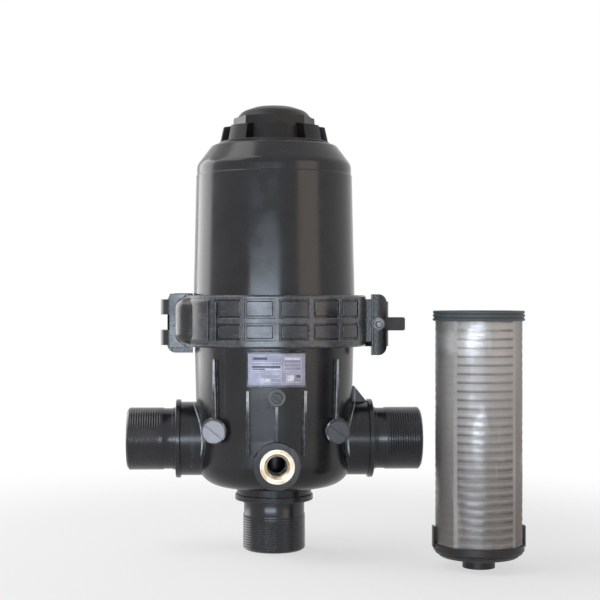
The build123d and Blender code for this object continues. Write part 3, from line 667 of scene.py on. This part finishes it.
def threaded_spigot(name, tube, collar, stub, place):
    """A port spigot from its open end inwards, with a helical male thread."""
    steps = int(thread_length / thread_pitch * steps_per_pitch)
    rings = [(port_bore, 0.0), (port_crest - port_lip, 0.0)]
    thread_heights = [None, None]
    for index in range(steps + 1):
        height = thread_start + index * thread_pitch / steps_per_pitch
        rings.append((port_crest, height))
        thread_heights.append(height)
    end = thread_heights[-1]
    plain = [
        (port_crest - shank_depth, end + shank_start),
        (port_crest - shank_depth, tube - land_length - land_rise),
        (port_crest - land_depth, tube - land_length),
        (port_crest - land_depth, tube),
        (port_collar - collar_edge, tube),
        (port_collar, tube + collar_edge),
        (port_collar, tube + collar - collar_edge),
        (port_collar - collar_edge, tube + collar),
        (port_stub, tube + collar),
        (port_stub, tube + collar + stub),
        (port_bore, tube + collar + stub),
    ]
    rings += plain
    thread_heights += [None] * len(plain)

    def wobble(angle, index):
        height = thread_heights[index]
        if height is None:
            return 0.0
        drop = thread_depth * thread_drop(height / thread_pitch - angle / (2 * pi))
        runout = min(1.0, max(0.0, (end - height) / (runout_pitches * thread_pitch)))
        chamfer = max(0.0, port_chamfer - height)
        return -max(drop * runout + runout_depth * (1 - runout), chamfer)

    bm = bmesh.new()
    lathe(bm, rings, place, segments=144, wobble=wobble)
    new_piece(name + "_threaded", bm, "port_plastic", "housing", [name])


def turned_to(direction, origin):
    """A place whose local Z points along a direction."""
    rotation = Vector(direction).to_track_quat("Z", "Y").to_matrix().to_4x4()
    return Matrix.Translation(origin) @ rotation


left_place = turned_to((1, 0, 0), (-side_reach, 0, port_height))
right_place = turned_to((-1, 0, 0), (side_reach, 0, port_height))
threaded_spigot("left_port", side_tube, side_collar, side_stub, left_place)
threaded_spigot("right_port", side_tube, side_collar, side_stub, right_place)
threaded_spigot("bottom_port", bottom_tube, bottom_collar, bottom_stub, Matrix.Identity(4))


def threaded_insert():
    """The brass insert: a bored face with a turned groove and a parallel pipe thread inside."""
    thread_top = insert_length - insert_mouth_depth
    steps = int(thread_top / insert_pitch * steps_per_pitch)
    rings = [(insert_bore, index * thread_top / steps) for index in range(steps + 1)]
    threaded = len(rings)
    face = insert_length
    rings += [
        (insert_mouth_radius, face),
        (insert_groove[0], face),
        (insert_groove[0] + insert_groove_depth / 2, face - insert_groove_depth),
        (insert_groove[1] - insert_groove_depth / 2, face - insert_groove_depth),
        (insert_groove[1], face),
        (insert_radius - insert_bevel, face),
        (insert_radius, face - insert_bevel),
        (insert_radius, 0.0),
    ]

    def wobble(angle, index):
        if index >= threaded:
            return 0.0
        height = rings[index][1]
        drop = thread_drop(height / insert_pitch - angle / (2 * pi))
        return (insert_thread_radius - insert_bore) * (1 - drop)

    bm = bmesh.new()
    place = turned_to((0, -1, 0), (0, insert_length - drain_face, drain_height))
    lathe(bm, rings, place, segments=96, wobble=wobble)
    new_piece("drain_insert_threaded", bm, "brass", "housing", ["drain_insert"])


def label_print(name, rectangles, finish):
    """Rectangles printed on the label plate, each as (left, right, low, high) shares of its face."""
    bm = bmesh.new()
    radius = label_face + ink_lift
    for left, right, low, high in rectangles:
        first = (2 * left - 1) * label_half_angle
        last = (2 * right - 1) * label_half_angle
        count = max(1, int((last - first) / ink_step))
        columns = []
        for index in range(count + 1):
            angle = first + (last - first) * index / count
            heights = [label_span[0] + share * (label_span[1] - label_span[0]) for share in (low, high)]
            columns.append([bm.verts.new((radius * sin(angle), -radius * cos(angle), z)) for z in heights])
        for before, after in zip(columns, columns[1:]):
            bm.faces.new((before[0], after[0], after[1], before[1]))
    new_piece(name, bm, "label_foil", "housing", finish=finish)


def ruled_lines():
    """The lines of the label's blank boxes and rules."""
    across = ink_line / (2 * label_half_angle * label_face)
    upright = ink_line / (label_span[1] - label_span[0])
    lines = []
    for left, right, low, high in label_boxes:
        lines += [(left, right, low, low + upright), (left, right, high - upright, high)]
        lines += [(left, left + across, low, high), (right - across, right, low, high)]
    for left, right, share in label_rules:
        lines.append((left, right, share, share + upright))
    return lines


def clamp_pads(name, columns, face, first_column=None):
    """Raised pads with sloped edges in the clamp's pockets; face turns them from front to back."""
    half = (pocket_pitch - pocket_rib / clamp_radius) / 2 - pad_inset / clamp_radius
    middles = [(index + 0.5) * pocket_pitch for index in columns]
    spans = [(middle - half, middle + half) for middle in middles]
    if first_column:
        spans.append(first_column)
    root = clamp_radius - pocket_depth - pad_root
    top = clamp_radius - pocket_depth + pad_stand
    slant = pad_bevel / clamp_radius
    bm = bmesh.new()
    for start, end in spans:
        inner_span = end - start - 2 * slant
        angles = [start + slant + inner_span * index / pad_steps for index in range(pad_steps + 1)]
        for low, high in pocket_rows:
            low += clamp_joint_height + pad_inset
            high += clamp_joint_height - pad_inset
            heights = (low, low + pad_bevel, high - pad_bevel, high)
            columns_of_points = [(start, (root, root, root, root))]
            columns_of_points += [(angle, (root, top, top, root)) for angle in angles]
            columns_of_points.append((end, (root, root, root, root)))
            previous = None
            for angle, radii in columns_of_points:
                turn = angle + face
                points = [
                    bm.verts.new((radius * sin(turn), -radius * cos(turn), height))
                    for radius, height in zip(radii, heights)
                ]
                if previous:
                    for step in range(len(heights) - 1):
                        bm.faces.new((previous[step], points[step], points[step + 1], previous[step + 1]))
                previous = points
    new_piece(name, bm, "clamp_plastic", "housing")


threaded_insert()
label_print("label_lines", ruled_lines(), pale_ink)
label_print("label_pale_fields", label_fields, pale_ink)
label_print("label_dark_bars", label_bars, dark_ink)
clamp_pads("clamp_front_pads", front_columns, 0, narrow_column)
clamp_pads("clamp_rear_pads", rear_columns, pi)


# Screen element


def front_angle(angle):
    """Angle from the front, from -pi to pi, for a lathe angle counted from +X."""
    return (angle + pi / 2 + pi) % (2 * pi) - pi


def spare_cloth():
    """Steel cloth drawn in a little between the support rings, with a lapped seam and a hem at its foot."""
    low, high = cloth_span
    steps = (ring_count - 1) * cloth_steps_per_ring
    rings = [(cloth_radius, low + (high - low) * index / steps) for index in range(steps + 1)]
    outside = len(rings)
    inner = cloth_radius - cloth_thickness - cloth_waist
    rings += [(inner, high), (inner, low)]

    def wobble(angle, index):
        if index >= outside:
            return 0.0
        height = rings[index][1]
        along = index % cloth_steps_per_ring / cloth_steps_per_ring
        wave = sin(cloth_waves * angle + index * cloth_wave_drift)
        uneven = cloth_waist_middle + (1 - cloth_waist_middle) * wave
        shift = -cloth_waist * sin(pi * along) ** 2 * uneven
        if abs(front_angle(angle) - cloth_seam_angle) < cloth_seam_half_angle:
            shift = cloth_seam_stand
        if height < cloth_hem_height:
            shift = cloth_hem_stand if height > cloth_hem_height - cloth_hem_edge else 0.0
        return shift

    bm = bmesh.new()
    lathe(bm, rings, Matrix.Translation(spare_place), segments=180, wobble=wobble)
    new_piece("spare_cloth", bm, "mesh_steel", "spare_screen", ["spare_mesh"], cloth_finish)


def spare_grid():
    """The support cage behind the cloth: close rings joined by upright ribs."""
    bm = bmesh.new()
    place = Matrix.Translation(spare_place)
    low, high = cloth_span
    inner = grid_outer - grid_depth
    step = (high - low - ring_height) / (ring_count - 1)
    for index in range(ring_count):
        foot = low + index * step
        head = foot + ring_height
        section = [(inner, foot), (grid_outer, foot), (grid_outer, head), (inner, head)]
        lathe(bm, section, place, segments=96)
    middle = (inner + grid_outer) / 2
    for index in range(rib_count):
        turn = Matrix.Rotation(2 * pi * index / rib_count, 4, "Z")
        size = Matrix.Diagonal((rib_depth, 2 * rib_half_width, high - low, 1))
        centre = Matrix.Translation((middle, 0, (low + high) / 2))
        bmesh.ops.create_cube(bm, size=1.0, matrix=place @ turn @ centre @ size)
    new_piece("spare_grid", bm, "cage_plastic", "spare_screen", ["spare_cage"])


def spare_seal():
    """The element's rubber ring with its three sealing lips."""
    bm = bmesh.new()
    rings = [(radius * MM, height * MM) for radius, height in seal_rings]
    lathe(bm, rings, Matrix.Translation(spare_place), segments=144)
    new_piece("spare_seal_lips", bm, "grey_rubber", "spare_screen", ["spare_seal_ring"])


spare_cloth()
spare_grid()
spare_seal()


# Floor, light and camera


def make_floor():
    """A white floor that keeps the contact shadow near the part and is plain white further out."""
    bm = bmesh.new()
    bmesh.ops.create_circle(bm, cap_ends=True, radius=floor_radius, segments=floor_segments)
    mesh = bpy.data.meshes.new("floor")
    bm.to_mesh(mesh)
    bm.free()
    floor = bpy.data.objects.new("floor", mesh)
    bpy.context.scene.collection.objects.link(floor)
    g = Graph("floor_paint")
    g.finish(Base_Color=(floor_white, floor_white, floor_white), Roughness=floor_roughness)
    flat = g.add("ShaderNodeEmission")
    flat.inputs["Strength"].default_value = 1.0
    distance = g.add("ShaderNodeVectorMath", operation="LENGTH")
    g.link(g.coords, distance.inputs[0])
    far = g.ramp(distance.outputs["Value"], *floor_fade, start=floor_flat_near, end=1.0)
    rays = g.add("ShaderNodeLightPath")
    seen = g.math("MAXIMUM", rays.outputs["Is Camera Ray"], rays.outputs["Is Glossy Ray"])
    seen = g.math("MAXIMUM", seen, rays.outputs["Is Transmission Ray"])
    mixer = g.add("ShaderNodeMixShader")
    g.link(g.math("MULTIPLY", far, seen), mixer.inputs[0])
    g.link(g.shader.outputs[0], mixer.inputs[1])
    g.link(flat.outputs[0], mixer.inputs[2])
    g.link(mixer.outputs[0], g.output.inputs["Surface"])
    mesh.materials.append(g.material)


def area_light(name, azimuth, elevation, distance, size, power, colour=(1, 1, 1)):
    """A soft light that faces the part; azimuth 0 is behind the camera, positive to the right."""
    direction = Vector((
        sin(radians(azimuth)) * cos(radians(elevation)),
        -cos(radians(azimuth)) * cos(radians(elevation)),
        sin(radians(elevation)),
    ))
    lamp = bpy.data.lights.new(name, "AREA")
    lamp.shape = "RECTANGLE"
    lamp.size, lamp.size_y = size
    lamp.energy = power
    lamp.color = colour
    holder = bpy.data.objects.new(name, lamp)
    holder.location = light_target + direction * distance
    holder.rotation_euler = (-direction).to_track_quat("-Z", "Y").to_euler()
    bpy.context.scene.collection.objects.link(holder)


def make_world():
    """White to the camera and in reflections; as a light source dim, and darker in front."""
    world = bpy.data.worlds.new("studio")
    bpy.context.scene.world = world
    world.use_nodes = True
    tree = world.node_tree
    tree.nodes.clear()
    output = tree.nodes.new("ShaderNodeOutputWorld")
    mixer = tree.nodes.new("ShaderNodeMixShader")
    white = tree.nodes.new("ShaderNodeBackground")
    soft = tree.nodes.new("ShaderNodeBackground")
    white.inputs["Color"].default_value = (1, 1, 1, 1)
    white.inputs["Strength"].default_value = 1.0
    coords = tree.nodes.new("ShaderNodeTexCoord")
    parts = tree.nodes.new("ShaderNodeSeparateXYZ")
    tree.links.new(coords.outputs["Generated"], parts.inputs[0])
    side = tree.nodes.new("ShaderNodeMapRange")
    side.inputs["From Min"].default_value = world_change[0]
    side.inputs["From Max"].default_value = world_change[1]
    side.inputs["To Min"].default_value = world_front
    side.inputs["To Max"].default_value = world_back
    tree.links.new(parts.outputs["Y"], side.inputs["Value"])
    tree.links.new(side.outputs[0], soft.inputs["Strength"])
    rays = tree.nodes.new("ShaderNodeLightPath")
    seen = rays.outputs["Is Camera Ray"]
    for kind in ("Is Glossy Ray", "Is Transmission Ray"):
        either = tree.nodes.new("ShaderNodeMath")
        either.operation = "MAXIMUM"
        tree.links.new(seen, either.inputs[0])
        tree.links.new(rays.outputs[kind], either.inputs[1])
        seen = either.outputs[0]
    tree.links.new(seen, mixer.inputs[0])
    tree.links.new(soft.outputs[0], mixer.inputs[1])
    tree.links.new(white.outputs[0], mixer.inputs[2])
    tree.links.new(mixer.outputs[0], output.inputs["Surface"])


def make_camera():
    data = bpy.data.cameras.new("camera")
    camera = bpy.data.objects.new("camera", data)
    bpy.context.scene.collection.objects.link(camera)
    half = image_size * metres_per_pixel / 2
    data.angle = 2 * atan(half / camera_distance)
    data.shift_x = (image_size / 2 - axis_pixel_x) / image_size
    forward = Vector((sin(camera_yaw), cos(camera_yaw), 0))
    camera.location = -forward * camera_distance + Vector((0, 0, camera_height))
    camera.rotation_euler = forward.to_track_quat("-Z", "Y").to_euler()
    bpy.context.scene.camera = camera


make_floor()
make_world()
area_light("window_left", azimuth=-124, elevation=10, distance=1.6, size=(1.2, 1.5), power=17)
area_light(
    "sky_front",
    azimuth=-15,
    elevation=-1.5,
    distance=2.3,
    size=(1.7, 0.42),
    power=34,
    colour=(0.74, 0.85, 1.0),
)
area_light(
    "room_right",
    azimuth=48,
    elevation=8,
    distance=1.8,
    size=(1.0, 1.2),
    power=6,
    colour=(1.0, 0.82, 0.68),
)
area_light("top_left", azimuth=-80, elevation=52, distance=1.8, size=(1.3, 1.3), power=12)
make_camera()

view = bpy.context.scene.view_settings
view.view_transform = "Standard"
